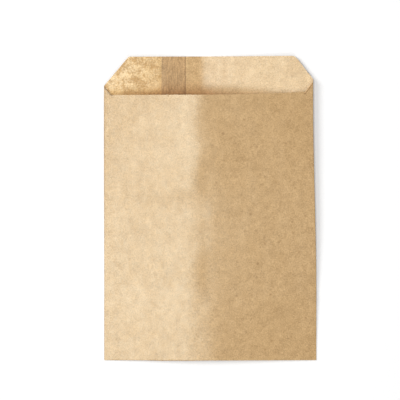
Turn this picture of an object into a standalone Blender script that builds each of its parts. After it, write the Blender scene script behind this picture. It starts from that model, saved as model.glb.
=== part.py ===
"""A small flat bag of brown kraft paper, lying on its back wall with its mouth a little open.

The real bag is one sheet. A web of paper is wrapped into a flat tube, glued along a lap seam on the
back wall, cut off across the tube, and closed by turning the bottom end under and gluing it to the
back wall. The cut runs straight across the front wall, slants up over each side fold and runs
straight again across the back wall, so that the back wall stands above the front as a lip with
slanted corners. The next bag of the web starts at the same cut, which gives the bottom flap its form.

Every point of the sheet has a place across the flat bag, x0, and a place along it, y. The functions
below give its height above the table, and the finished sheet gets the thickness of the paper.
+Y points to the mouth, +X to the right seen from the front, and the bag rests on z = 0.
"""

import math

import bmesh
import bpy

MM = 0.001

# The paper, and the dried glue that keeps two glued layers apart.
PAPER = 0.12 * MM
GLUE = 0.03 * MM
PITCH = PAPER + GLUE

# The flat bag.
BAG_WIDTH = 130.0 * MM
FRONT_HEIGHT = 162.8 * MM
LIP_HEIGHT = 24.1 * MM
BACK_TUCK = 13.7 * MM
FLAP_LENGTH = LIP_HEIGHT + BACK_TUCK

# The slanted cut over each side fold: how far it reaches over the back wall and over the front wall.
CHAMFER_LEFT = 15.8 * MM
CHAMFER_RIGHT = 11.7 * MM
EAR_LEFT = 4.6 * MM
EAR_RIGHT = 4.9 * MM

# The front edge of the mouth isn't cut quite square: it rises towards the right side fold.
EDGE_RISE = 2.2 * MM

# The lap seam: the free edge of the inner layer, left of the middle, and the width of the overlap.
LAP_EDGE = -14.8 * MM
LAP_WIDTH = 14.9 * MM
LAP_RAMP = 8.0 * MM

# How the bag has opened towards its mouth, where the walls stand apart and the side folds draw in.
MOUTH_DRAW_IN = 1.5 * MM
MOUTH_LEAN = 1.2 * MM
SIDE_GAP = 1.7 * MM
SIDE_ROLL_LEFT = 0.75 * MM
SIDE_ROLL_RIGHT = 0.4 * MM
SIDE_SPREAD = 6.5 * MM
OPEN_LENGTH = 122.0 * MM

# The soft ridge along the front wall, and the glued end, which is bent with it.
RIDGE_AT_MOUTH = -7.5 * MM
RIDGE_AT_BOTTOM = -4.5 * MM
RIDGE_HEIGHT = 4.6 * MM
BOTTOM_RIDGE_HEIGHT = 3.6 * MM
BOTTOM_RIDGE_LENGTH = 95.0 * MM
RIDGE_ROUNDING = 9.0 * MM

# The back wall at the mouth: a flat keel on the table, a wing that rises on either side of it, and
# a bend at the outer edge of the lap seam, from which the left wing comes down again.
KEEL_LEFT = -7.0 * MM
KEEL_RIGHT = -2.5 * MM
LAP_RISE = 1.8 * MM
LEFT_EDGE_RISE = 1.4 * MM
RIGHT_EDGE_RISE = 4.2 * MM
KEEL_ROUNDING = 3.0 * MM
LAP_ROUNDING = 1.5 * MM
SETTLE_LENGTH = 14.0 * MM

# How finely the curved sheet is cut into flat faces.
WIDEST_STRIP = 9.0 * MM
RIDGE_STRIP = 3.5 * MM
CLOSEST_STRIPS = 0.9 * MM
ROLL_STEPS = 3
NOSE_STEPS = 5
FLAP_STEPS = 6
LOWER_LENGTH = 60.0 * MM
LOWER_STEPS = 9
UPPER_STEPS = 11

KRAFT_COLOUR = (0.604, 0.402, 0.195, 1.0)
KRAFT_ROUGHNESS = 0.6
CREASE_ANGLE = math.radians(40)

LEFT = -1
RIGHT = 1
LAP_OUTER_EDGE = LAP_EDGE - LAP_WIDTH
NOSE_CENTRE = 2.5 * PITCH + PAPER / 2


def smooth(share):
    """0 up to 0 and 1 from 1, with a smooth rise between."""
    share = min(max(share, 0.0), 1.0)
    return share * share * (3 - 2 * share)


def bend(distance, rounding):
    """A wall that lies flat up to distance 0, bends over the rounding and then climbs at 1 to 1."""
    if distance <= 0:
        return 0.0
    if distance < rounding:
        return distance * distance / (2 * rounding)
    return distance - rounding / 2


# Places along the bag.


def openness(y):
    """0 in the glued end and 1 at the mouth."""
    return smooth((y - FLAP_LENGTH) / OPEN_LENGTH)


def side_gap(y):
    """The distance between the two walls beside a side fold."""
    return PITCH + (SIDE_GAP - PITCH) * openness(y)


def roll_radius(side, y):
    """The radius of a side fold, which is a sharp crease in the glued end."""
    at_mouth = SIDE_ROLL_LEFT if side == LEFT else SIDE_ROLL_RIGHT
    return PITCH / 2 + (at_mouth - PITCH / 2) * openness(y)


def side_angle(side, y):
    """The angle at which a wall leaves the round of its side fold."""
    spread = side_gap(y) / 2 - roll_radius(side, y)
    return math.atan(2 * spread / SIDE_SPREAD)


def ridge_place(y):
    share = min(max(y / FRONT_HEIGHT, 0.0), 1.0)
    return RIDGE_AT_BOTTOM + (RIDGE_AT_MOUTH - RIDGE_AT_BOTTOM) * share


# Heights across the bag. A height is that of the middle of the paper.


def ridge_share(x0, y):
    """1 along the ridge and 0 at both side folds."""
    ridge = ridge_place(y)
    reach = BAG_WIDTH / 2 - ridge if x0 > ridge else BAG_WIDTH / 2 + ridge
    return 1 - bend(abs(x0 - ridge), RIDGE_ROUNDING) / bend(reach, RIDGE_ROUNDING)


def keel_profile(x0):
    """The back wall's height over the table at the mouth."""
    if x0 >= KEEL_RIGHT:
        reach = BAG_WIDTH / 2 - KEEL_RIGHT
        return RIGHT_EDGE_RISE * bend(x0 - KEEL_RIGHT, KEEL_ROUNDING) / bend(reach, KEEL_ROUNDING)
    lap_reach = KEEL_LEFT - LAP_OUTER_EDGE
    wing_reach = LAP_OUTER_EDGE + BAG_WIDTH / 2
    up = LAP_RISE / lap_reach
    down = (LAP_RISE - LEFT_EDGE_RISE) / wing_reach
    rise = up * bend(KEEL_LEFT - x0, KEEL_ROUNDING)
    return rise - (up + down) * bend(LAP_OUTER_EDGE - x0, LAP_ROUNDING)


def side_chord(x0):
    """The straight line between the back wall's two edges at the mouth."""
    left = keel_profile(-BAG_WIDTH / 2)
    right = keel_profile(BAG_WIDTH / 2)
    return left + (right - left) * (x0 + BAG_WIDTH / 2) / BAG_WIDTH


def lap_share(x0):
    """1 over the lap seam, with a ramp down to 0 beyond either edge of it."""
    beyond = max(LAP_OUTER_EDGE - x0, x0 - LAP_EDGE, 0.0)
    return 1 - smooth(beyond / LAP_RAMP)


def settling(y):
    """How far the flap below holds the back wall up, in layers."""
    return 2 * (1 - smooth((y - FLAP_LENGTH) / SETTLE_LENGTH))


def back_height(x0, y):
    glued_end = 1 - smooth(y / BOTTOM_RIDGE_LENGTH)
    base = PAPER / 2 + PITCH * settling(y)
    roof = BOTTOM_RIDGE_HEIGHT * glued_end * ridge_share(x0, y)
    return base + openness(y) * keel_profile(x0) + roof


def front_height(x0, y):
    opened = openness(y)
    base = PAPER / 2 + PITCH * settling(y) + opened * side_chord(x0)
    ridge = BOTTOM_RIDGE_HEIGHT + (RIDGE_HEIGHT - BOTTOM_RIDGE_HEIGHT) * opened
    over_lap = PITCH * lap_share(x0) * (1 - opened)
    return base + side_gap(y) + over_lap + ridge * ridge_share(x0, y)


# The columns of the sheet, in their order across the web of paper. Each column says which layer it
# lies in, where it is across the flat bag, and how far around a side fold it is.


class Column:
    """One line along the sheet, from the end of the flap to the cut at the mouth."""

    def __init__(self, layer, x0, side=0, turn=0.0):
        self.layer = layer
        self.x0 = x0
        self.side = side
        self.turn = turn

    def level(self):
        """The layer's place in the stack of the glued end, counted up from the back wall's 0."""
        if self.layer == "front":
            return 1 + lap_share(self.x0)
        if self.layer == "left back":
            return lap_share(self.x0)
        if self.layer == "roll":
            return 0.5 + 0.5 * math.sin(self.turn * math.pi / 2)
        return 0.0

    def place(self, y):
        """Where the column is in x at this y."""
        half = (BAG_WIDTH - MOUTH_DRAW_IN * openness(y)) / 2
        middle = -MOUTH_LEAN * openness(y)
        if self.layer == "roll":
            radius = roll_radius(self.side, y)
            angle = self.turn * (math.pi / 2 - side_angle(self.side, y))
            return middle + self.side * (half - radius * (1 - math.cos(angle)))
        starts = []
        for side in (LEFT, RIGHT):
            inset = roll_radius(side, y) * (1 - math.sin(side_angle(side, y)))
            starts.append(middle + side * (half - inset))
        share = (self.x0 + BAG_WIDTH / 2) / BAG_WIDTH
        return starts[0] + (starts[1] - starts[0]) * share

    def height(self, y):
        """The height of the sheet at this y, above the bottom fold."""
        if self.layer == "roll":
            angle = self.turn * (math.pi / 2 - side_angle(self.side, y))
            middle = back_height(self.x0, y) + side_gap(y) / 2
            return middle + roll_radius(self.side, y) * math.sin(angle)
        if self.layer == "front":
            return front_height(self.x0, y) - self.draw_in(y)
        lap = PITCH * lap_share(self.x0) if self.layer == "left back" else 0.0
        return back_height(self.x0, y) + lap + self.draw_in(y)

    def draw_in(self, y):
        """How far a wall has come towards the middle of the gap, close to a side fold."""
        side = LEFT if self.x0 < 0 else RIGHT
        share = min((BAG_WIDTH / 2 - abs(self.x0)) / SIDE_SPREAD, 1.0)
        start = roll_radius(side, y) * math.cos(side_angle(side, y))
        return (side_gap(y) / 2 - start) * (1 - share) ** 2

    def cut_share(self, roll_arc):
        """0 where the cut crosses the front wall, 1 where it crosses the back wall."""
        side = self.side or (LEFT if self.x0 < 0 else RIGHT)
        chamfer, ear = (CHAMFER_LEFT, EAR_LEFT) if side == LEFT else (CHAMFER_RIGHT, EAR_RIGHT)
        if self.layer == "roll":
            from_fold = -self.turn * roll_arc[side]
        else:
            from_fold = BAG_WIDTH / 2 - abs(self.x0) + roll_arc[side]
            if self.layer == "front":
                from_fold = -from_fold
        return min(max((ear + from_fold) / (ear + chamfer), 0.0), 1.0)

    def mouth_end(self):
        """Where the cut at the mouth ends this column."""
        from_ridge = max(self.x0 - RIDGE_AT_MOUTH, 0.0)
        front_edge = EDGE_RISE * (from_ridge / (BAG_WIDTH / 2 - RIDGE_AT_MOUTH)) ** 2
        share = self.cut_share(ROLL_ARC_AT_MOUTH)
        return FRONT_HEIGHT + front_edge + (LIP_HEIGHT - front_edge) * share

    def flap_end(self):
        """How far this column reaches back under the bag, as the next bag's cut leaves it."""
        return FLAP_LENGTH - LIP_HEIGHT * self.cut_share(ROLL_ARC_AT_BOTTOM)


def roll_arc(y):
    """The paper taken up by a quarter of each side fold."""
    arcs = {}
    for side in (LEFT, RIGHT):
        arcs[side] = roll_radius(side, y) * (math.pi / 2 - side_angle(side, y))
    return arcs


ROLL_ARC_AT_MOUTH = roll_arc(FRONT_HEIGHT)
ROLL_ARC_AT_BOTTOM = roll_arc(0.0)


def strips():
    """Places across the flat bag where a column runs: every feature, and enough between them."""
    half = BAG_WIDTH / 2
    keys = [-half, half, LAP_EDGE, LAP_OUTER_EDGE, KEEL_LEFT, KEEL_RIGHT, LAP_OUTER_EDGE - LAP_RAMP]
    for side, chamfer, ear in ((LEFT, CHAMFER_LEFT, EAR_LEFT), (RIGHT, CHAMFER_RIGHT, EAR_RIGHT)):
        keys.append(side * (half - chamfer + ROLL_ARC_AT_MOUTH[side]))
        keys.append(side * (half - ear + ROLL_ARC_AT_MOUTH[side]))
        keys.append(side * (half - chamfer))
        keys.append(side * (half - ear))
        keys.append(side * (half - SIDE_SPREAD))
    ridge_zone = [RIDGE_AT_MOUTH - RIDGE_ROUNDING, RIDGE_AT_BOTTOM + RIDGE_ROUNDING]
    keys += ridge_zone
    kept = []
    for key in keys:
        if abs(key) <= half and all(abs(key - other) > CLOSEST_STRIPS for other in kept):
            kept.append(key)
    kept.sort()
    places = [kept[0]]
    for low, high in zip(kept, kept[1:]):
        in_ridge_zone = ridge_zone[0] < (low + high) / 2 < ridge_zone[1]
        widest = RIDGE_STRIP if in_ridge_zone else WIDEST_STRIP
        count = math.ceil((high - low) / widest)
        places += [low + (high - low) * (i + 1) / count for i in range(count)]
    return places


def web_columns():
    """The sheet's columns from the lap's outer edge, round the bag, to the lap's inner edge."""
    places = strips()
    half = BAG_WIDTH / 2
    columns = [Column("right back", x0) for x0 in places if x0 >= LAP_OUTER_EDGE]
    turns = [i / ROLL_STEPS for i in range(1 - ROLL_STEPS, ROLL_STEPS)]
    columns += [Column("roll", half, RIGHT, turn) for turn in turns]
    columns += [Column("front", x0) for x0 in reversed(places)]
    columns += [Column("roll", -half, LEFT, turn) for turn in reversed(turns)]
    columns += [Column("left back", x0) for x0 in places if x0 <= LAP_EDGE]
    return columns


def column_points(column):
    """A column's points, from its end under the bag, round the bottom fold and up to the mouth."""
    points = []
    level = column.level()
    flap_end = column.flap_end()
    for i in range(FLAP_STEPS):
        y = flap_end + (NOSE_CENTRE - flap_end) * i / FLAP_STEPS
        points.append((column.place(y), y, back_height(column.x0, y) - PITCH * (1 + level)))
    radius = PITCH * (level + 0.5)
    axis_height = back_height(column.x0, NOSE_CENTRE) - PITCH / 2
    for i in range(NOSE_STEPS + 1):
        angle = math.pi * (1 - i / NOSE_STEPS)
        y = NOSE_CENTRE - radius * math.sin(angle)
        points.append((column.place(0.0), y, axis_height + radius * math.cos(angle)))
    mouth_end = column.mouth_end()
    rows = [NOSE_CENTRE + (LOWER_LENGTH - NOSE_CENTRE) * i / LOWER_STEPS for i in range(1, LOWER_STEPS + 1)]
    rows += [LOWER_LENGTH + (mouth_end - LOWER_LENGTH) * i / UPPER_STEPS for i in range(1, UPPER_STEPS + 1)]
    points += [(column.place(y), y, column.height(y)) for y in rows]
    return points


def folded_sheet():
    """The middle surface of the folded paper, as a grid of columns."""
    mesh = bpy.data.meshes.new("paper_bag")
    sheet = bmesh.new()
    grid = [[sheet.verts.new(point) for point in column_points(column)] for column in web_columns()]
    for this, following in zip(grid, grid[1:]):
        for i in range(len(this) - 1):
            sheet.faces.new((this[i], this[i + 1], following[i + 1], following[i]))
    lowest = [min(vert.co[axis] for vert in sheet.verts) for axis in range(2)]
    highest = [max(vert.co[axis] for vert in sheet.verts) for axis in range(2)]
    middle = [(low + high) / 2 for low, high in zip(lowest, highest)]
    bmesh.ops.translate(sheet, verts=sheet.verts, vec=(-middle[0], -middle[1], 0.0))
    bmesh.ops.recalc_face_normals(sheet, faces=sheet.faces)
    sheet.to_mesh(mesh)
    sheet.free()
    return mesh


def kraft_paper():
    material = bpy.data.materials.new("kraft_paper")
    material.use_nodes = True
    shader = material.node_tree.nodes["Principled BSDF"]
    shader.inputs["Base Color"].default_value = KRAFT_COLOUR
    shader.inputs["Roughness"].default_value = KRAFT_ROUGHNESS
    shader.inputs["Metallic"].default_value = 0.0
    return material


def build_bag():
    bag = bpy.data.objects.new("paper_bag", folded_sheet())
    bpy.context.scene.collection.objects.link(bag)
    bag.data.materials.append(kraft_paper())
    bag.data.shade_smooth()
    bag.data.set_sharp_from_angle(angle=CREASE_ANGLE)
    thickness = bag.modifiers.new("paper_thickness", "SOLIDIFY")
    thickness.thickness = PAPER
    thickness.offset = 0.0
    thickness.use_even_offset = True
    return bag


def main():
    for obj in list(bpy.data.objects):
        bpy.data.objects.remove(obj, do_unlink=True)
    build_bag()


main()
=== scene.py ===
"""A small flat bag of brown kraft paper, lying on its back wall on a white table, seen from above."""

import math

import bmesh
import bpy
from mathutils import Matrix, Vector


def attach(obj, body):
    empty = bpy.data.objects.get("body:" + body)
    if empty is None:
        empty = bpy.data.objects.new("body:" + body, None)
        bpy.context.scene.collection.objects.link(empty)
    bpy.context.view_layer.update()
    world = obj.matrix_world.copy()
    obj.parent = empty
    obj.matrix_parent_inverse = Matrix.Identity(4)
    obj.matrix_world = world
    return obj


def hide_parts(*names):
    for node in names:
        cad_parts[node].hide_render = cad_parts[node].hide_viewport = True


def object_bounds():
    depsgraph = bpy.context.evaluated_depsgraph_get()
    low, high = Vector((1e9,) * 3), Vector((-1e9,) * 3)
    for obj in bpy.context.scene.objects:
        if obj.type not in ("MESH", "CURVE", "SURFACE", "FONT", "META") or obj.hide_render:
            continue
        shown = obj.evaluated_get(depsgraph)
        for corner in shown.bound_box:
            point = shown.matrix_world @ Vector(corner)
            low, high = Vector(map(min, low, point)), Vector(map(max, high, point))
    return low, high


MM = 0.001

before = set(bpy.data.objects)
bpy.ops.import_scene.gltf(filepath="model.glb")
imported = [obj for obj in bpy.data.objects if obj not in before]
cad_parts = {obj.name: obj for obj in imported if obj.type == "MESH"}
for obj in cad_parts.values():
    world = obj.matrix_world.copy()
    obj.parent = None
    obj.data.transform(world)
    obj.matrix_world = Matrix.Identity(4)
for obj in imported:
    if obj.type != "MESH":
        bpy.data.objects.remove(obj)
cad_low, cad_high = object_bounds()


# The sheet
# The whole bag is one sheet of kraft paper. It starts here as the flat cut web: a strip that goes
# once round the bag, with the lap seam's two free edges at its sides. One cut across the web ends
# it at the mouth, and the same cut, made for the next bag, ends its bottom flap.

PAPER = 0.12 * MM
GLUE = 0.03 * MM
PITCH = PAPER + GLUE

BAG_WIDTH = 130.0 * MM
HALF_WIDTH = BAG_WIDTH / 2
FRONT_HEIGHT = 162.8 * MM
LIP_HEIGHT = cad_high.y - cad_low.y - FRONT_HEIGHT
FLAP_LENGTH = 37.8 * MM

LEFT = -1
RIGHT = 1
CHAMFER = {LEFT: 15.8 * MM, RIGHT: 11.7 * MM}
EAR = {LEFT: 4.6 * MM, RIGHT: 5.4 * MM}
CORNER_ROUNDING = {LEFT: 0.6 * MM, RIGHT: 1.8 * MM}
EDGE_RISE = 2.2 * MM
LIP_DROP = 0.6 * MM
RIDGE_AT_MOUTH = -6.0 * MM

LAP_EDGE = -14.8 * MM
LAP_OUTER_EDGE = -29.7 * MM
LAP_RAMP = 8.0 * MM
FRONT_LAP_RAMP = 14.0 * MM

COLUMN_WIDTH = 1.5 * MM
FINE_COLUMN_WIDTH = 0.45 * MM
CLOSEST_COLUMNS = 0.2 * MM
ROW_HEIGHT = 2.0 * MM
FOLD_STEPS = 6
NOSE_STEPS = 8
NOSE_CENTRE = 2.5 * PITCH + PAPER / 2
NOSE_EDGE = 0.06 * MM
FOLD_ARC = {LEFT: 1.2 * MM, RIGHT: 0.8 * MM}
FACTS = ("across", "along", "to_cut", "rise", "over_lap", "tuck", "opens", "inset")


def smooth(share):
    """0 up to 0 and 1 from 1, with a smooth rise between."""
    share = min(max(share, 0.0), 1.0)
    return share * share * (3 - 2 * share)


def lap_share(across, ramp):
    """1 over the lap seam, with a ramp down to 0 beyond either edge of it."""
    beyond = max(LAP_OUTER_EDGE - across, across - LAP_EDGE, 0.0)
    return 1 - smooth(beyond / ramp)


def cut_share(side, from_fold):
    """How far the cut has climbed from the front edge to the top of the lip.

    from_fold is the distance from the side fold, positive on the back wall.
    """
    length = EAR[side] + CHAMFER[side]
    share = (EAR[side] + from_fold) / length
    rounding = CORNER_ROUNDING[side] / length
    short = 1 - share
    if short > rounding:
        return max(share, 0.0)
    if short > -rounding:
        return 1 - (short + rounding) ** 2 / (4 * rounding)
    return 1.0


def web_columns():
    """The web's columns, from the lap's outer edge once round the bag to its inner edge.

    Each is a dictionary: wall, side, across (its place on the flat bag), turn (-1 to 1 round a side
    fold) and from_fold (its distance along the paper from the nearer side fold).
    """
    keys = {-HALF_WIDTH, HALF_WIDTH, LAP_EDGE, LAP_OUTER_EDGE, RIDGE_AT_MOUTH}
    for side in (LEFT, RIGHT):
        for reach in (EAR[side], CHAMFER[side]):
            keys.add(side * (HALF_WIDTH - reach + FOLD_ARC[side]))
            keys.add(side * (HALF_WIDTH - reach + FOLD_ARC[side] - CORNER_ROUNDING[side]))
            keys.add(side * (HALF_WIDTH - reach + FOLD_ARC[side] + CORNER_ROUNDING[side]))
    kept = []
    for key in sorted(keys):
        if not kept or key - kept[-1] > CLOSEST_COLUMNS:
            kept.append(key)
    places = [kept[0]]
    for low, high in zip(kept, kept[1:]):
        near_fold = max(abs(low), abs(high)) > HALF_WIDTH - EAR[RIGHT]
        width = FINE_COLUMN_WIDTH if near_fold else COLUMN_WIDTH
        count = math.ceil((high - low) / width)
        places += [low + (high - low) * (i + 1) / count for i in range(count)]

    def wall(name, across):
        side = LEFT if across < 0 else RIGHT
        from_fold = HALF_WIDTH - abs(across) + FOLD_ARC[side]
        if name == "front":
            from_fold = -from_fold
        return {"wall": name, "side": side, "across": across, "turn": 0.0, "from_fold": from_fold}

    def fold(side, turn):
        return {
            "wall": "fold",
            "side": side,
            "across": side * HALF_WIDTH,
            "turn": turn,
            "from_fold": -turn * FOLD_ARC[side],
        }

    turns = [i / FOLD_STEPS for i in range(1 - FOLD_STEPS, FOLD_STEPS)]
    columns = [wall("right back", across) for across in places if across >= LAP_OUTER_EDGE]
    columns += [fold(RIGHT, turn) for turn in turns]
    columns += [wall("front", across) for across in reversed(places)]
    columns += [fold(LEFT, turn) for turn in reversed(turns)]
    columns += [wall("left back", across) for across in places if across <= LAP_EDGE]
    return columns


def column_points(column):
    """A column's points from the flap's end to the mouth, and its rise, over_lap and mouth_end.

    A point is (along, tuck, opens): its place on the bag, its height over the back wall in the flap
    or the bottom fold, and 0 in these two, which stay shut, or 1 above them. rise is 0 on the back
    wall and 1 on the front wall, over_lap is 1 on or over the lap seam, and mouth_end is the cut.
    """
    rise = 0.0
    over_lap = 0.0
    if column["wall"] == "front":
        rise = 1.0
        over_lap = lap_share(column["across"], FRONT_LAP_RAMP)
    elif column["wall"] == "fold":
        rise = 0.5 + 0.5 * math.sin(column["turn"] * math.pi / 2)
    elif column["wall"] == "left back":
        over_lap = lap_share(column["across"], LAP_RAMP)
    level = rise + over_lap
    share = cut_share(column["side"], column["from_fold"])
    flap_end = FLAP_LENGTH - LIP_HEIGHT * share
    from_ridge = max(column["across"] - RIDGE_AT_MOUTH, 0.0) / (HALF_WIDTH - RIDGE_AT_MOUTH)
    front_edge = EDGE_RISE * from_ridge**2
    lip_drop = LIP_DROP * (HALF_WIDTH - column["across"]) / BAG_WIDTH
    mouth_end = FRONT_HEIGHT + front_edge + (LIP_HEIGHT - lip_drop - front_edge) * share

    flap_steps = round(FLAP_LENGTH / ROW_HEIGHT)
    body_steps = round(FRONT_HEIGHT / ROW_HEIGHT)
    points = []
    for i in range(flap_steps):
        along = flap_end + (NOSE_CENTRE - flap_end) * i / flap_steps
        points.append((along, -PITCH * (1 + level), 0.0))
    radius = PITCH * (level + 0.5)
    for i in range(NOSE_STEPS + 1):
        angle = math.pi * (1 - i / NOSE_STEPS)
        along = NOSE_CENTRE - radius * math.sin(angle)
        points.append((along, radius * math.cos(angle) - PITCH / 2, 0.0))
    points.append((NOSE_CENTRE + NOSE_EDGE, 0.0, 1.0))
    for i in range(1, body_steps + 1):
        points.append((NOSE_CENTRE + (mouth_end - NOSE_CENTRE) * i / body_steps, 0.0, 1.0))
    return points, rise, over_lap, mouth_end


def flat_web():
    """The sheet before it is folded, with what the folding needs to know as attributes."""
    facts = {name: [] for name in FACTS}
    columns = web_columns()
    web = bmesh.new()
    grid = []
    around = 0.0
    for i, column in enumerate(columns):
        if i:
            before = columns[i - 1]
            past_fold = abs(column["from_fold"] - before["from_fold"])
            around += past_fold or abs(column["across"] - before["across"])
        points, rise, over_lap, mouth_end = column_points(column)
        in_fold = column["wall"] == "fold"
        inset = 1 - math.cos(column["turn"] * math.pi / 2) if in_fold else 1.0
        grid.append([])
        for j, (along, tuck, opens) in enumerate(points):
            grid[i].append(web.verts.new((around, j * ROW_HEIGHT, 0.0)))
            values = (column["across"], along, mouth_end - along, rise, over_lap, tuck, opens, inset)
            for name, value in zip(FACTS, values):
                facts[name].append(value)
    for this, following in zip(grid, grid[1:]):
        for j in range(len(this) - 1):
            web.faces.new((this[j], this[j + 1], following[j + 1], following[j]))
    mesh = bpy.data.meshes.new("kraft_sheet")
    web.to_mesh(mesh)
    web.free()
    for name, values in facts.items():
        mesh.attributes.new(name, "FLOAT", "POINT").data.foreach_set("value", values)
    return mesh


sheet = bpy.data.objects.new("kraft_sheet", flat_web())
bpy.context.scene.collection.objects.link(sheet)


# The folding
# The bag machine lays the sheet flat round a former, and in use it springs open a little: the front
# wall arches to a soft ridge with a shoulder beside it, the back wall keeps a keel on the table, the
# side folds draw in, and the glued end is bent with them. The tree folds the flat sheet by that rule.

FOLDING = {
    "Bag Width": BAG_WIDTH,
    "Paper Pitch": PITCH,
    "Glued Length": FLAP_LENGTH,
    "Open Length": 122.0 * MM,
    "Settle Length": 7.0 * MM,
    "Flap Step": 0.10 * MM,
    "Mouth Draw In": 2.0 * MM,
    "Mouth Lean": 1.05 * MM,
    "Side Gap": 1.7 * MM,
    "Left Fold Radius": 0.75 * MM,
    "Right Fold Radius": 0.3 * MM,
    "Ridge Height": 4.6 * MM,
    "Bottom Ridge Height": 3.6 * MM,
    "Bottom Ridge Length": 95.0 * MM,
    "Ridge Rounding": 5.5 * MM,
    "Shoulder": -12.5 * MM,
    "Shoulder Part": 0.22,
    "Keel Left": -5.0 * MM,
    "Keel Right": -3.0 * MM,
    "Keel Rounding": 1.2 * MM,
    "Lap Crease": LAP_OUTER_EDGE,
    "Lap Rise": 1.8 * MM,
    "Left Edge Rise": 1.4 * MM,
    "Wing Slope": 0.04,
    "Lip Bend": 1.3 * MM,
    "Lip Bend Length": 10.0 * MM,
    "Right Edge Rise": 3.2 * MM,
    "Right Open Length": 90.0 * MM,
    "Wave Height": 0.36 * MM,
    "Wave Length": 34.0 * MM,
    "Cockle Height": 0.10 * MM,
    "Cockle Length": 9.0 * MM,
}

# The ridge's place across the bag at shares of the front wall's height
RIDGE_WANDER = (
    (0.03, 0.5 * MM),
    (0.08, 1.0 * MM),
    (0.13, -1.5 * MM),
    (0.21, -2.0 * MM),
    (0.30, -6.5 * MM),
    (0.37, -6.5 * MM),
    (0.44, -2.5 * MM),
    (0.51, -3.0 * MM),
    (0.57, -1.5 * MM),
    (0.65, -8.0 * MM),
    (0.73, -8.0 * MM),
    (0.80, -5.5 * MM),
    (0.89, -8.0 * MM),
    (0.98, -6.5 * MM),
)
WANDER_REACH = 12.0 * MM
WAVE_SEED = 4.0
FRONT_WAVE_SEED = 11.0
COCKLE_SEED = 23.0
WAVE_ROUGHNESS = 0.4

LAYERS_UNDER_BACK = 2.0
FLAP_STEP_RAMP = 1.0 * MM
BEND_AT_LEFT = 0.5
BEND_AT_RIGHT = 0.3
BEND_BELOW_EDGE = 0.4

# Where the step at the flap's end and the lip's bend fade, as shares of half the width
FLAP_STEP_FADE = (-0.55, -0.2)
BEND_RIGHT_FADE = (0.1, 0.7)


def wire(tree, kind, values, **settings):
    """Adds a node to the tree, sets its options, and links or sets its inputs."""
    node = tree.nodes.new(kind)
    for name, value in settings.items():
        setattr(node, name, value)
    for name, value in values.items():
        if isinstance(value, bpy.types.NodeSocket):
            tree.links.new(value, node.inputs[name])
        else:
            node.inputs[name].default_value = value
    return node


def calculate(tree, operation, *values):
    """The result of a Math node."""
    return wire(tree, "ShaderNodeMath", dict(enumerate(values)), operation=operation).outputs[0]


def between(tree, value, low, high, start=0.0, end=1.0):
    """A smooth change from start to end while the value goes from low to high."""
    values = {"Value": value, "From Min": low, "From Max": high, "To Min": start, "To Max": end}
    node = wire(tree, "ShaderNodeMapRange", values, interpolation_type="SMOOTHSTEP", clamp=True)
    return node.outputs["Result"]


def soft_ramp_tree():
    """A node group: 0 before the bend and the distance after it, rounded at the bend."""
    tree = bpy.data.node_groups.new("soft_ramp", "GeometryNodeTree")
    for name in ("Distance", "Rounding"):
        tree.interface.new_socket(name, in_out="INPUT", socket_type="NodeSocketFloat")
    tree.interface.new_socket("Ramp", in_out="OUTPUT", socket_type="NodeSocketFloat")
    take = tree.nodes.new("NodeGroupInput").outputs
    squares = calculate(
        tree, "MULTIPLY_ADD", take["Distance"], take["Distance"],
        calculate(tree, "MULTIPLY", take["Rounding"], take["Rounding"]),
    )
    twice = calculate(tree, "ADD", calculate(tree, "SQRT", squares), take["Distance"])
    wire(tree, "NodeGroupOutput", {"Ramp": calculate(tree, "MULTIPLY", twice, 0.5)})
    return tree


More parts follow.
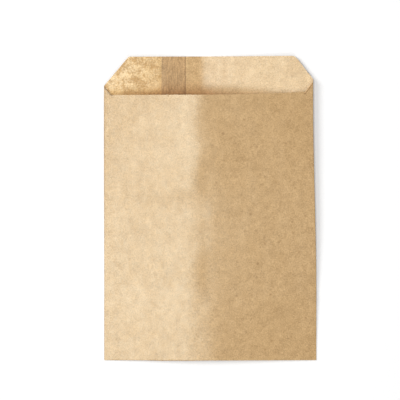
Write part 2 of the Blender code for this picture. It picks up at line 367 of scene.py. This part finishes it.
def folding_tree():
    """A node group that folds the flat sheet into the bag as it lies, a little open."""
    tree = bpy.data.node_groups.new("fold_the_bag", "GeometryNodeTree")
    tree.interface.new_socket("Geometry", in_out="INPUT", socket_type="NodeSocketGeometry")
    for name in FOLDING:
        tree.interface.new_socket(name, in_out="INPUT", socket_type="NodeSocketFloat")
    tree.interface.new_socket("Paper", in_out="INPUT", socket_type="NodeSocketMaterial")
    tree.interface.new_socket("Geometry", in_out="OUTPUT", socket_type="NodeSocketGeometry")
    take = tree.nodes.new("NodeGroupInput").outputs
    soft_ramp = soft_ramp_tree()

    def fact(name):
        node = wire(tree, "GeometryNodeInputNamedAttribute", {"Name": name}, data_type="FLOAT")
        return node.outputs["Attribute"]

    def add(a, b):
        return calculate(tree, "ADD", a, b)

    def less(a, b):
        return calculate(tree, "SUBTRACT", a, b)

    def times(a, b):
        return calculate(tree, "MULTIPLY", a, b)

    def over(a, b):
        return calculate(tree, "DIVIDE", a, b)

    def mix(share, a, b):
        return add(a, times(share, less(b, a)))

    def ramp(distance, rounding):
        values = {"Distance": distance, "Rounding": rounding}
        return wire(tree, "GeometryNodeGroup", values, node_tree=soft_ramp).outputs["Ramp"]

    def noise(length, seed):
        place = wire(tree, "ShaderNodeCombineXYZ", {"X": across, "Y": along, "Z": 0.0}).outputs[0]
        values = {0: place, "Scale": over(1.0, length)}
        scaled = wire(tree, "ShaderNodeVectorMath", values, operation="SCALE").outputs[0]
        values = {"Vector": scaled, "W": seed, "Scale": 1.0, "Detail": 1.0, "Roughness": WAVE_ROUGHNESS}
        node = wire(tree, "ShaderNodeTexNoise", values, noise_dimensions="4D")
        return less(node.outputs[0], 0.5)

    across = fact("across")
    along = fact("along")
    rise = fact("rise")
    opens = fact("opens")
    half = times(take["Bag Width"], 0.5)
    share = over(add(across, half), take["Bag Width"])
    glued_end = take["Glued Length"]
    opened = between(tree, along, glued_end, add(glued_end, take["Open Length"]))

    wander = wire(tree, "ShaderNodeFloatCurve", {"Value": over(along, FRONT_HEIGHT)})
    curve = wander.mapping.curves[0]
    for i, (place, shift) in enumerate(RIDGE_WANDER):
        point = (place, 0.5 + shift / (2 * WANDER_REACH))
        if i < 2:
            curve.points[i].location = point
        else:
            curve.points.new(*point)
    wander.mapping.update()
    ridge = times(less(wander.outputs[0], 0.5), 2 * WANDER_REACH)
    from_ridge = less(across, ridge)
    on_right = calculate(tree, "GREATER_THAN", from_ridge, 0.0)
    reach = add(half, times(ridge, less(1.0, times(on_right, 2.0))))
    rounding = take["Ridge Rounding"]

    def arch(distance):
        squares = add(times(distance, distance), times(rounding, rounding))
        return less(calculate(tree, "SQRT", squares), rounding)

    from_shoulder = less(across, take["Shoulder"])
    right_of_it = calculate(tree, "GREATER_THAN", from_shoulder, 0.0)
    shoulder_reach = add(half, times(take["Shoulder"], less(1.0, times(right_of_it, 2.0))))
    by_ridge = over(arch(from_ridge), arch(reach))
    by_shoulder = over(arch(from_shoulder), arch(shoulder_reach))
    ridge_share = less(1.0, mix(take["Shoulder Part"], by_ridge, by_shoulder))

    to_crease = less(take["Keel Left"], take["Lap Crease"])
    lap_slope = over(take["Lap Rise"], to_crease)
    wing = calculate(tree, "MAXIMUM", less(take["Lap Crease"], across), 0.0)
    wing_width = add(take["Lap Crease"], half)
    wing_share = over(wing, wing_width)
    wing_slope = take["Wing Slope"]
    wing_fall = less(take["Lap Rise"], take["Left Edge Rise"])
    wing_fall = add(wing_fall, times(wing_slope, wing_width))
    wing_drop = less(times(times(wing_share, wing_share), wing_fall), times(wing, wing_slope))
    right_slope = over(take["Right Edge Rise"], less(half, take["Keel Right"]))
    keel_rounding = take["Keel Rounding"]
    right_part = times(right_slope, ramp(less(across, take["Keel Right"]), keel_rounding))
    right_opened = between(tree, along, 0.0, take["Right Open Length"])
    keel = add(right_part, times(lap_slope, ramp(less(take["Keel Left"], across), keel_rounding)))
    keel = less(keel, times(lap_slope, ramp(less(take["Lap Crease"], across), keel_rounding)))
    keel = less(keel, wing_drop)

    glued_arch = between(tree, along, 0.0, take["Bottom Ridge Length"], 1.0, 0.0)
    roof = times(times(take["Bottom Ridge Height"], glued_arch), ridge_share)
    settle_end = add(glued_end, take["Settle Length"])
    settled = between(tree, along, glued_end, settle_end, LAYERS_UNDER_BACK, 0.0)
    back = add(times(opened, keel), add(roof, times(take["Paper Pitch"], settled)))
    back = add(back, times(right_part, less(right_opened, opened)))

    side_gap = mix(opened, take["Paper Pitch"], take["Side Gap"])
    chord = mix(share, take["Left Edge Rise"], take["Right Edge Rise"])
    ridge_height = mix(opened, take["Bottom Ridge Height"], take["Ridge Height"])
    ridge_gap = times(less(ridge_height, times(take["Bottom Ridge Height"], glued_arch)), ridge_share)
    gap = add(add(side_gap, ridge_gap), times(opened, less(chord, keel)))
    lifted = times(times(take["Paper Pitch"], fact("over_lap")), less(1.0, times(opened, rise)))

    wave = times(noise(take["Wave Length"], WAVE_SEED), take["Wave Height"])
    front_wave = times(noise(take["Wave Length"], FRONT_WAVE_SEED), take["Wave Height"])
    front_wave = times(front_wave, times(opened, rise))
    cockle = times(noise(take["Cockle Length"], COCKLE_SEED), take["Cockle Height"])
    height = add(back, times(opens, add(times(rise, gap), lifted)))

    step_low = less(glued_end, FLAP_STEP_RAMP)
    step_high = add(glued_end, FLAP_STEP_RAMP)
    flap_step = between(tree, along, step_low, step_high, take["Flap Step"], 0.0)
    fade_low, fade_high = (times(half, place) for place in FLAP_STEP_FADE)
    flap_step = times(flap_step, between(tree, across, fade_low, fade_high, 1.0, 0.0))
    flap_step = times(flap_step, between(tree, along, NOSE_CENTRE + NOSE_EDGE, glued_end))
    height = add(height, times(times(opens, rise), flap_step))
    height = add(height, fact("tuck"))
    height = add(height, add(wave, add(front_wave, cockle)))

    bend_share = between(tree, across, times(half, -1.0), 0.0, BEND_AT_LEFT, 1.0)
    fade_low, fade_high = (times(half, place) for place in BEND_RIGHT_FADE)
    bend_share = times(bend_share, between(tree, across, fade_low, fade_high, 1.0, BEND_AT_RIGHT))
    bend_length = times(take["Lip Bend Length"], bend_share)
    bend_start = less(FRONT_HEIGHT, times(bend_length, BEND_BELOW_EDGE))
    bent = between(tree, along, bend_start, add(FRONT_HEIGHT, bend_length), 1.0, 0.0)
    bent = times(times(bent, bent), times(take["Lip Bend"], bend_share))
    height = add(height, times(times(opened, less(1.0, rise)), bent))

    fold_start = times(take["Paper Pitch"], 0.5)
    inset = fact("inset")
    mouth_half = less(half, times(times(opened, take["Mouth Draw In"]), 0.5))
    left = less(times(inset, mix(opened, fold_start, take["Left Fold Radius"])), mouth_half)
    right = less(mouth_half, times(inset, mix(opened, fold_start, take["Right Fold Radius"])))
    place = less(mix(share, left, right), times(opened, take["Mouth Lean"]))

    values = {"X": place, "Y": add(along, cad_low.y), "Z": height}
    spot = wire(tree, "ShaderNodeCombineXYZ", values).outputs[0]
    values = {"Geometry": take["Geometry"], "Position": spot}
    moved = wire(tree, "GeometryNodeSetPosition", values).outputs[0]
    real = wire(tree, "GeometryNodeRealizeInstances", {"Geometry": moved}).outputs[0]
    values = {"Geometry": real, "Material": take["Paper"]}
    made_of = wire(tree, "GeometryNodeSetMaterial", values).outputs[0]
    wire(tree, "NodeGroupOutput", {"Geometry": made_of})
    return tree


# The paper
# Unprinted brown kraft, machine glazed to a soft neutral sheen over a cloudy brown of darker and
# lighter fibres, with a few dark specks of bark. Inside it is stained, most of all left of the lap
# seam, and the seam's two glued layers are darker, partly from the glue and partly as painted shade,
# and streaked. Painted shade darkens the inside along the mouth, round the lap seam near the mouth
# and beside the keel. Painted lines of highlight and shade mark the ears, the seam's free edge and
# the side folds.

OUTSIDE_BROWN = (0.496, 0.308, 0.134, 1.0)
INSIDE_BROWN = (0.584, 0.385, 0.189, 1.0)
PAPER_ROUGHNESS = 0.26
GLOSS_CHANGE = 0.14
PAPER_IOR = 1.5
GLAZE_TINT = (0.95, 1.0, 0.88, 1.0)
OUTSIDE_RELIEF = 0.006 * MM
INSIDE_RELIEF = 0.009 * MM

GRAIN = {
    "Cloud Size": 4.5 * MM,
    "Fibre Size": 0.75 * MM,
    "Stain Size": 2.2 * MM,
    "Speck Size": 4.2 * MM,
}
PULP_DARK = (0.66, 0.60, 0.49, 1.0)
PULP_LIGHT = (1.32, 1.37, 1.46, 1.0)
CLOUD_PART = 0.24
FINE_PART = 0.46
FIBRE_PART = 0.36
FIBRE_STRETCH = (2.6, 0.5, 1.0)
FIBRE_TURN = 0.3
CROSS_FIBRE_STRETCH = (0.5, 2.6, 1.0)
CROSS_FIBRE_TURN = 0.5
GLOSS_STRETCH = (1.3, 0.8, 1.0)
PULP_ROUGHNESS = 0.6
TONE_RANGE = (0.36, 0.64)
SPECK_BROWN = (0.80, 0.75, 0.68, 1.0)
SPECK_LIMIT = 0.80
SPECK_EDGE = (0.10, 0.26)
SPECKS_AT_LEFT = 0.3
SPECKS_RAMP = (-15.0 * MM, 5.0 * MM)

STAIN_DARK = (0.80, 0.66, 0.40, 1.0)
STAIN_LIGHT = (1.12, 1.09, 0.92, 1.0)
STAIN_MATT = 0.14
STAIN_RANGE = (0.72, 1.08)
BROAD_STAIN = 2.6
BROAD_STAIN_PART = 0.8
SMALL_STAIN = 0.55
LAP_STAIN = 0.45
LAP_STAIN_FADE = (-6.0 * MM, -2.0 * MM)
DRY_STAIN = 0.30
STREAK_DARK = (0.82, 0.79, 0.76, 1.0)
STREAK_LIGHT = (1.14, 1.14, 1.14, 1.0)
STREAK_STRETCH = (2.8, 0.5, 1.0)
STREAK_RANGE = (0.36, 0.64)

GLUE_LINE_WIDTH = 0.35 * MM
# The lap seam's two layers: darker from the glue, and partly painted shade for the less light two
# layers let through from the table
DOUBLE_SHADE = (0.80, 0.73, 0.65, 1.0)
BACK_WALL_RISE = 0.4
# Painted shadow of the seam's free edge, over a dark glue line
SEAM_LINE_SHADE = (0.60, 0.50, 0.42, 1.0)
SEAM_LINE_CORE = 0.4
# Painted shade: the back wall's inside darkened just above the front wall's edge, where the mouth
# shades it
MOUTH_SHADE = (0.80, 0.69, 0.57, 1.0)
MOUTH_SHADE_WIDTH = 4.0 * MM
MOUTH_SHADE_AT_RIGHT = 0.2
MOUTH_SHADE_RIGHT_FADE = (0.0, 0.6 * HALF_WIDTH)
MOUTH_SHADE_AT_LEFT = 0.1
MOUTH_SHADE_LEFT_FADE = (-0.95 * HALF_WIDTH, -0.68 * HALF_WIDTH)
# Painted shade, deeper and taller, near the mouth over the lap seam and to its left
DEEP_SHADE = (0.87, 0.77, 0.67, 1.0)
DEEP_SHADE_WIDTH = 12.0 * MM
DEEP_SHADE_RAMP = 18.0 * MM
DEEP_SHADE_FADE = (-2.0 * MM, 8.0 * MM)
# Painted shade on the inside just right of the lap seam's free edge, fading towards the right
KEEL_SHADE = (0.955, 0.935, 0.93, 1.0)
KEEL_SHADE_RAMP = 3.0 * MM
KEEL_SHADE_FADE = (0.0, 35.0 * MM)

# Painted shade along the side folds
CREASE_SHADE = (0.95, 0.94, 0.92, 1.0)
CREASE_WIDTH = 0.7 * MM
# Painted highlight along the right ear's cut edge, partly its paler raw fibres, and painted shade just
# below it
EAR_HIGHLIGHT = (1.40, 1.45, 1.55, 1.0)
EAR_HIGHLIGHT_WIDTH = 0.8 * MM
EAR_HIGHLIGHT_CORE = 0.6
EAR_SHADE = (0.55, 0.44, 0.36, 1.0)
EAR_SHADE_WIDTH = 1.4 * MM
# Painted shade along the left ear's cut, where the fold lies in shade
LEFT_EAR_SHADE = (0.62, 0.54, 0.46, 1.0)
LEFT_EAR_SHADE_WIDTH = 0.8 * MM
LEFT_EAR_SHADE_CORE = 0.5


def pulp_tree():
    """A node group for the pulp: its tone, specks, stains, streaks, changes of gloss, and relief."""
    tree = bpy.data.node_groups.new("kraft_pulp", "ShaderNodeTree")
    for name in ("Cloud Size", "Fibre Size", "Speck Size", "Stain Size", "Relief"):
        tree.interface.new_socket(name, in_out="INPUT", socket_type="NodeSocketFloat")
    for name in ("Tone", "Speck", "Stain", "Streak", "Gloss Change", "Height"):
        tree.interface.new_socket(name, in_out="OUTPUT", socket_type="NodeSocketFloat")
    take = tree.nodes.new("NodeGroupInput").outputs
    place = tree.nodes.new("ShaderNodeTexCoord").outputs["Object"]

    def add(a, b):
        return calculate(tree, "ADD", a, b)

    def times(a, b):
        return calculate(tree, "MULTIPLY", a, b)

    def noise(size, detail, stretch=(1.0, 1.0, 1.0), turn=0.0):
        values = {"Vector": place, "Rotation": (0, 0, turn), "Scale": stretch}
        turned = wire(tree, "ShaderNodeMapping", values).outputs[0]
        scale = calculate(tree, "DIVIDE", 1.0, size)
        values = {"Vector": turned, "Scale": scale, "Detail": detail, "Roughness": PULP_ROUGHNESS}
        return wire(tree, "ShaderNodeTexNoise", values).outputs[0]

    cloud = noise(take["Cloud Size"], 3.0)
    fine = noise(take["Fibre Size"], 2.0)
    along_web = noise(take["Fibre Size"], 2.0, FIBRE_STRETCH, FIBRE_TURN)
    across_web = noise(take["Fibre Size"], 2.0, CROSS_FIBRE_STRETCH, CROSS_FIBRE_TURN)
    fibres = add(times(along_web, 0.5), times(across_web, 0.5))
    tone = add(times(cloud, CLOUD_PART), times(fine, FINE_PART))
    tone = add(tone, times(fibres, FIBRE_PART))
    tone_low, tone_high = TONE_RANGE
    values = {"Value": tone, "From Min": tone_low, "From Max": tone_high, "To Min": 0.0, "To Max": 1.0}
    stretched = wire(tree, "ShaderNodeMapRange", values, clamp=True).outputs["Result"]

    scale = calculate(tree, "DIVIDE", 1.0, take["Speck Size"])
    values = {"Vector": place, "Scale": scale, "Randomness": 1.0}
    cells = wire(tree, "ShaderNodeTexVoronoi", values).outputs
    chance = wire(tree, "ShaderNodeSeparateColor", {"Color": cells["Color"]}).outputs["Red"]
    chosen = calculate(tree, "GREATER_THAN", chance, SPECK_LIMIT)
    speck = times(chosen, between(tree, cells["Distance"], *SPECK_EDGE, 1.0, 0.0))

    broad_stain = noise(times(take["Stain Size"], BROAD_STAIN), 3.0)
    small_stain = noise(times(take["Stain Size"], SMALL_STAIN), 3.0)
    stain = calculate(tree, "MULTIPLY_ADD", broad_stain, BROAD_STAIN_PART, small_stain)
    stain = between(tree, stain, *STAIN_RANGE)
    streak = between(tree, noise(take["Stain Size"], 3.0, STREAK_STRETCH), *STREAK_RANGE)
    gloss = calculate(tree, "SUBTRACT", noise(take["Cloud Size"], 2.0, GLOSS_STRETCH), 0.5)
    relief = times(add(fine, fibres), take["Relief"])
    found = {"Tone": stretched, "Speck": speck, "Stain": stain, "Streak": streak}
    found.update({"Gloss Change": gloss, "Height": relief})
    wire(tree, "NodeGroupOutput", found)
    return tree


pulp = pulp_tree()


def kraft_paper(name, brown, relief, inner):
    """One face of the paper: the inner with its stains and painted shades, or the outer with painted
    lines of shade and highlight along its folds and ears.
    """
    material = bpy.data.materials.new(name)
    material.use_nodes = True
    tree = material.node_tree
    shader = tree.nodes["Principled BSDF"].inputs
    grain = wire(tree, "ShaderNodeGroup", {**GRAIN, "Relief": relief}, node_tree=pulp).outputs

    def fact(attribute):
        return wire(tree, "ShaderNodeAttribute", {}, attribute_name=attribute).outputs["Fac"]

    def times(a, b):
        return calculate(tree, "MULTIPLY", a, b)

    def less(a, b):
        return calculate(tree, "SUBTRACT", a, b)

    def blend(kind, share, first, second):
        values = {0: share, 6: first, 7: second}
        return wire(tree, "ShaderNodeMix", values, data_type="RGBA", blend_type=kind).outputs[2]

    def shaded(share, shade):
        return blend("MULTIPLY", share, colour, shade)

    across = fact("across")
    colour = blend("MULTIPLY", 1.0, brown, blend("MIX", grain["Tone"], PULP_DARK, PULP_LIGHT))
    speckled = between(tree, across, *SPECKS_RAMP, SPECKS_AT_LEFT, 1.0)
    colour = shaded(times(grain["Speck"], speckled), SPECK_BROWN)
    rough = calculate(tree, "MULTIPLY_ADD", grain["Gloss Change"], GLOSS_CHANGE, PAPER_ROUGHNESS)
    if inner:
        outer_line = (LAP_OUTER_EDGE - GLUE_LINE_WIDTH, LAP_OUTER_EDGE + GLUE_LINE_WIDTH)
        damp = between(tree, across, *outer_line, 1.0, 0.0)
        dry = between(tree, across, LAP_EDGE, LAP_EDGE + GLUE_LINE_WIDTH, 0.0, LAP_STAIN)
        dry = times(dry, between(tree, across, *LAP_STAIN_FADE, 1.0, DRY_STAIN))
        stained = calculate(tree, "ADD", damp, dry)
        colour = shaded(stained, blend("MIX", grain["Stain"], STAIN_DARK, STAIN_LIGHT))
        matt = times(stained, less(1.0, grain["Stain"]))
        rough = calculate(tree, "MULTIPLY_ADD", matt, STAIN_MATT, rough)

        along = fact("along")
        # Painted shade along the mouth, just above the front wall's edge
        mouth_low = FRONT_HEIGHT - GLUE_LINE_WIDTH
        by_mouth = between(tree, along, mouth_low, FRONT_HEIGHT + MOUTH_SHADE_WIDTH, 1.0, 0.0)
        right_fade = between(tree, across, *MOUTH_SHADE_RIGHT_FADE, 1.0, MOUTH_SHADE_AT_RIGHT)
        left_fade = between(tree, across, *MOUTH_SHADE_LEFT_FADE, MOUTH_SHADE_AT_LEFT, 1.0)
        colour = shaded(times(times(by_mouth, right_fade), left_fade), MOUTH_SHADE)

        # The lap seam's two layers: darker from the glue, and partly painted shade for the less light
        # they let through
        past_edge = between(tree, across, LAP_EDGE - GLUE_LINE_WIDTH, LAP_EDGE, 1.0, 0.0)
        past_outer = between(tree, across, *outer_line)
        back_wall = between(tree, fact("rise"), 0.0, BACK_WALL_RISE, 1.0, 0.0)
        double = times(times(past_edge, past_outer), back_wall)
        colour = shaded(double, DOUBLE_SHADE)
        colour = shaded(double, blend("MIX", grain["Streak"], STREAK_DARK, STREAK_LIGHT))

        # Painted shade near the mouth round the lap seam and left of it
        deep_shade_mask = between(tree, across, LAP_OUTER_EDGE - DEEP_SHADE_RAMP, LAP_OUTER_EDGE)
        deep_shade_mask = times(deep_shade_mask, between(tree, across, *DEEP_SHADE_FADE, 1.0, 0.0))
        deep = between(tree, along, FRONT_HEIGHT, FRONT_HEIGHT + DEEP_SHADE_WIDTH, 1.0, 0.0)
        colour = shaded(times(deep_shade_mask, deep), DEEP_SHADE)

        # Painted shade beside the keel
        beside_keel = between(tree, across, *KEEL_SHADE_FADE, 1.0, 0.0)
        keel_ramp = between(tree, across, LAP_EDGE, LAP_EDGE + KEEL_SHADE_RAMP)
        colour = shaded(times(beside_keel, keel_ramp), KEEL_SHADE)

        # Painted shadow of the seam's free edge, over a dark glue line
        from_edge = calculate(tree, "ABSOLUTE", less(across, LAP_EDGE))
        line_core = SEAM_LINE_CORE * GLUE_LINE_WIDTH
        seam_line = between(tree, from_edge, line_core, GLUE_LINE_WIDTH, 1.0, 0.0)
        colour = shaded(times(seam_line, back_wall), SEAM_LINE_SHADE)
    else:
        # Painted shade along the side folds
        from_fold = less(HALF_WIDTH, calculate(tree, "ABSOLUTE", across))
        colour = shaded(between(tree, from_fold, 0.0, CREASE_WIDTH, 1.0, 0.0), CREASE_SHADE)

        # Painted highlight along the right ear's cut, partly paler raw fibres, and painted shade below
        # it
        to_cut = fact("to_cut")
        ear_start = HALF_WIDTH - EAR[RIGHT]
        on_ear = between(tree, across, ear_start, ear_start + CREASE_WIDTH)
        light_core = EAR_HIGHLIGHT_CORE * EAR_HIGHLIGHT_WIDTH
        ear_highlight_line = between(tree, to_cut, light_core, EAR_HIGHLIGHT_WIDTH, 1.0, 0.0)
        ear_shade_line = between(tree, to_cut, EAR_HIGHLIGHT_WIDTH, EAR_HIGHLIGHT_WIDTH + EAR_SHADE_WIDTH, 1.0, 0.0)
        colour = shaded(times(on_ear, ear_highlight_line), EAR_HIGHLIGHT)
        colour = shaded(times(on_ear, less(ear_shade_line, ear_highlight_line)), EAR_SHADE)

        # Painted shade along the left ear's cut
        left_ear_start = EAR[LEFT] - HALF_WIDTH
        on_left_ear = between(tree, across, left_ear_start, left_ear_start + CREASE_WIDTH, 1.0, 0.0)
        shade_core = LEFT_EAR_SHADE_CORE * LEFT_EAR_SHADE_WIDTH
        left_ear_shade_line = between(tree, to_cut, shade_core, LEFT_EAR_SHADE_WIDTH, 1.0, 0.0)
        colour = shaded(times(on_left_ear, left_ear_shade_line), LEFT_EAR_SHADE)
    values = {"Strength": 1.0, "Distance": 1.0, "Height": grain["Height"]}
    bump = wire(tree, "ShaderNodeBump", values).outputs["Normal"]
    for socket, value in (("Base Color", colour), ("Roughness", rough), ("Normal", bump)):
        tree.links.new(value, shader[socket])
    shader["IOR"].default_value = PAPER_IOR
    shader["Specular Tint"].default_value = GLAZE_TINT
    return material


outside = kraft_paper("kraft_outside", OUTSIDE_BROWN, OUTSIDE_RELIEF, inner=False)
inside = kraft_paper("kraft_inside", INSIDE_BROWN, INSIDE_RELIEF, inner=True)


# The bag
# The tree folds the sheet, which then gets the thickness of the paper, with one finish outside and
# one inside. It is one closed skin of paper, and it rests on the table.

RIM_ANGLE = math.radians(50)

folding = sheet.modifiers.new("folding", "NODES")
folding.node_group = folding_tree()
for item in folding.node_group.interface.items_tree:
    if item.in_out == "INPUT" and item.name in FOLDING:
        folding[item.identifier] = FOLDING[item.name]
    elif item.in_out == "INPUT" and item.name == "Paper":
        folding[item.identifier] = outside


def with_modifiers(source, name):
    """A new object with the source's modifiers in its mesh. The source goes."""
    evaluated = source.evaluated_get(bpy.context.evaluated_depsgraph_get())
    mesh = bpy.data.meshes.new_from_object(evaluated)
    mesh.name = name
    bpy.data.objects.remove(source, do_unlink=True)
    obj = bpy.data.objects.new(name, mesh)
    bpy.context.scene.collection.objects.link(obj)
    return obj


folded = with_modifiers(sheet, "folded_sheet")
folded.data.materials.append(inside)
thickness = folded.modifiers.new("paper_thickness", "SOLIDIFY")
thickness.thickness = PAPER
thickness.offset = 0.0
thickness.material_offset = 1
thickness.material_offset_rim = 1

bag = with_modifiers(folded, "paper_bag_sheet")
lowest = min(vert.co.z for vert in bag.data.vertices)
for vert in bag.data.vertices:
    vert.co.z -= lowest
bag.data.shade_smooth()
bag.data.set_sharp_from_angle(angle=RIM_ANGLE)
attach(bag, "root")
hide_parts("paper_bag")


# The table
# A plain white table top. To the camera it is as bright as the empty background, apart from the
# bag's own shadow.

TABLE_SIZE = 4.0
TABLE_WHITE = (0.88, 0.88, 0.88, 1.0)
TABLE_ROUGHNESS = 0.9
TABLE_GLOW = 0.14
TABLE_GAP = 0.02 * MM
WHITE = (1.0, 1.0, 1.0, 1.0)


def seen_plainly(tree):
    """1 for rays from the camera or from a glossy or clear surface, and 0 for all others."""
    rays = tree.nodes.new("ShaderNodeLightPath").outputs
    in_gloss = calculate(tree, "MAXIMUM", rays["Is Glossy Ray"], rays["Is Transmission Ray"])
    return calculate(tree, "MAXIMUM", rays["Is Camera Ray"], in_gloss)


top = bpy.data.meshes.new("table_top")
reach = TABLE_SIZE / 2
corners = [(x * reach, y * reach, -TABLE_GAP) for x, y in ((-1, -1), (1, -1), (1, 1), (-1, 1))]
top.from_pydata(corners, [], [(0, 1, 2, 3)])
table = bpy.data.objects.new("table_top", top)
bpy.context.scene.collection.objects.link(table)
table_white = bpy.data.materials.new("table_white")
table_white.use_nodes = True
table_tree = table_white.node_tree
table_shader = table_tree.nodes["Principled BSDF"].inputs
table_shader["Base Color"].default_value = TABLE_WHITE
table_shader["Roughness"].default_value = TABLE_ROUGHNESS
table_shader["Specular IOR Level"].default_value = 0.0
table_shader["Emission Color"].default_value = WHITE
glow = calculate(table_tree, "MULTIPLY", seen_plainly(table_tree), TABLE_GLOW)
table_tree.links.new(glow, table_shader["Emission Strength"])
table.data.materials.append(table_white)


# The light
# A white room lights the bag evenly. A broad soft lamp on the left gives its shadow, and a weaker
# one beyond the bottom end evens it. A lamp high beside the camera gives the glazed paper its sheen
# on the slopes that lean to the left.

ROOM_LIGHT = 0.23
BROAD_LAMP = {"place": (-1.20, 0.55, 1.25), "width": 0.8, "height": 0.8, "radiance": 8.1}
FRONT_LAMP = {"place": (0.45, -1.10, 1.60), "width": 0.9, "height": 0.6, "radiance": 3.5}
SHEEN_LAMP = {"place": (-0.38, 0.00, 2.40), "width": 0.64, "height": 0.94, "radiance": 11.5}

world = bpy.data.worlds.new("white_room")
bpy.context.scene.world = world
world.use_nodes = True
room = world.node_tree
background = room.nodes["Background"]
background.inputs["Color"].default_value = WHITE
strength = calculate(room, "MULTIPLY_ADD", seen_plainly(room), 1.0 - ROOM_LIGHT, ROOM_LIGHT)
room.links.new(strength, background.inputs["Strength"])


def area_lamp(name, place, width, height, radiance):
    """A rectangular soft lamp that faces the bag."""
    data = bpy.data.lights.new(name, "AREA")
    data.shape = "RECTANGLE"
    data.size = width
    data.size_y = height
    data.energy = radiance * math.pi * width * height
    lamp = bpy.data.objects.new(name, data)
    lamp.location = place
    lamp.rotation_euler = Vector((0, 0, -1)).rotation_difference(-Vector(place)).to_euler()
    bpy.context.scene.collection.objects.link(lamp)


area_lamp("broad_lamp", **BROAD_LAMP)
area_lamp("front_lamp", **FRONT_LAMP)
area_lamp("sheen_lamp", **SHEEN_LAMP)
bpy.context.scene.view_settings.view_transform = "Standard"


# The camera
# It looks straight down on the bag, as the photograph does, from high enough to see it almost
# without perspective.

CAMERA_HEIGHT = 1.5
FRAME_WIDTH = 245.6 * MM
FRAME_CENTRE = (-6.3 * MM, 5.0 * MM)

lens = bpy.data.cameras.new("camera")
lens.lens = lens.sensor_width * CAMERA_HEIGHT / FRAME_WIDTH
camera = bpy.data.objects.new("camera", lens)
camera.location = (*FRAME_CENTRE, CAMERA_HEIGHT)
bpy.context.scene.collection.objects.link(camera)
bpy.context.scene.camera = camera
